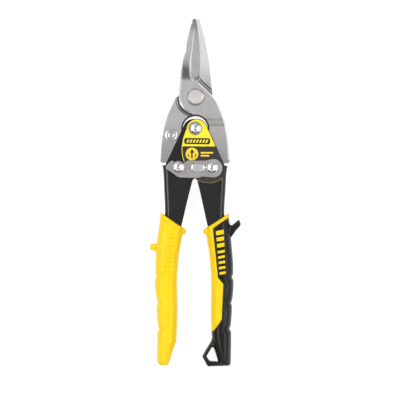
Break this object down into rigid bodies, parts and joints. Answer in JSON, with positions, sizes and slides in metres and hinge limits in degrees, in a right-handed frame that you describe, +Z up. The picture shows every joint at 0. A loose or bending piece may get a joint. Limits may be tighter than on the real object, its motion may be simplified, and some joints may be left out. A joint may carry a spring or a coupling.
{
  "type": "aviation snips",
  "caption": "Straight-cutting aviation snips with compound-action blades, channel handles, moulded grips with a thumb guard and hang loop, and a latch; shut and lying flat.",
  "frame": {"origin": "on the blade pivot's axis, at the flat end of the pivot bolt, level with the undersides of the grips", "axes": "+X to the right, +Y along the tool to the blade tips, +Z up, to the side with the bolt head and the latch"},
  "size_m": [0.065, 0.2494, 0.0231],
  "materials": {
    "blade_steel": "satin ground",
    "bolt_steel": "satin plated",
    "zinc": "zinc plated",
    "nylon": "matte",
    "handle_paint": "satin",
    "grip_yellow": "satin",
    "overmould": "matte",
    "label": "gloss",
    "rivet_chrome": "polished",
    "spring_steel": "oiled",
    "latch_steel": "satin"
  },
  "bodies": {
    "handle_right": {"handle_right": "handle_paint", "grip_right_core": "grip_yellow", "grip_right_cover": "overmould", "front_label": "label", "rivet_handle_pivot": "rivet_chrome", "burr_washer_handle_pivot": "zinc", "rivet_right_tang": "rivet_chrome", "burr_washer_right_tang": "zinc", "tang_spacer_front": "zinc", "tang_spacer_back": "zinc", "latch_washer": "zinc", "spring_sleeve": "zinc", "return_spring": "spring_steel"},
    "handle_left": {"handle_left": "handle_paint", "grip_left": "grip_yellow", "rivet_left_tang": "rivet_chrome", "burr_washer_left_tang": "zinc"},
    "blade_front": {"blade_front": "blade_steel", "pivot_bolt": "bolt_steel", "pivot_washer": "bolt_steel", "pivot_nut": "bolt_steel", "nut_insert": "nylon"},
    "blade_rear": {"blade_rear": "blade_steel"},
    "latch": {"latch": "latch_steel", "latch_stud": "rivet_chrome"}
  },
  "joints": [
    {"name": "handle_pivot", "type": "hinge", "parent": "handle_right", "child": "handle_left", "pos_m": [0, -0.0224, 0.011], "axis": [0, 0, -1], "range_deg": [0, 28], "deforming": ["return_spring"]},
    {"name": "tang_pivot", "type": "hinge", "parent": "handle_right", "child": "blade_front", "pos_m": [0.012, -0.0503, 0.011], "axis": [0, 0, -1], "range_deg": [0, 6.6]},
    {"name": "blade_pivot", "type": "hinge", "parent": "blade_front", "child": "blade_rear", "pos_m": [0, 0, 0.011], "axis": [0, 0, -1], "range_deg": [0, 15.1]},
    {"name": "latch_pivot", "type": "hinge", "parent": "handle_right", "child": "latch", "pos_m": [0.012, -0.0503, 0.0198], "axis": [0, 0, 1], "range_deg": [0, 56.5]}
  ],
  "couplings": [
    {"joint": "tang_pivot", "follows": "handle_pivot", "ratio": 0.233},
    {"joint": "blade_pivot", "follows": "handle_pivot", "ratio": 0.534},
    {"joint": "latch_pivot", "follows": "handle_pivot", "ratio": 2}
  ]
}
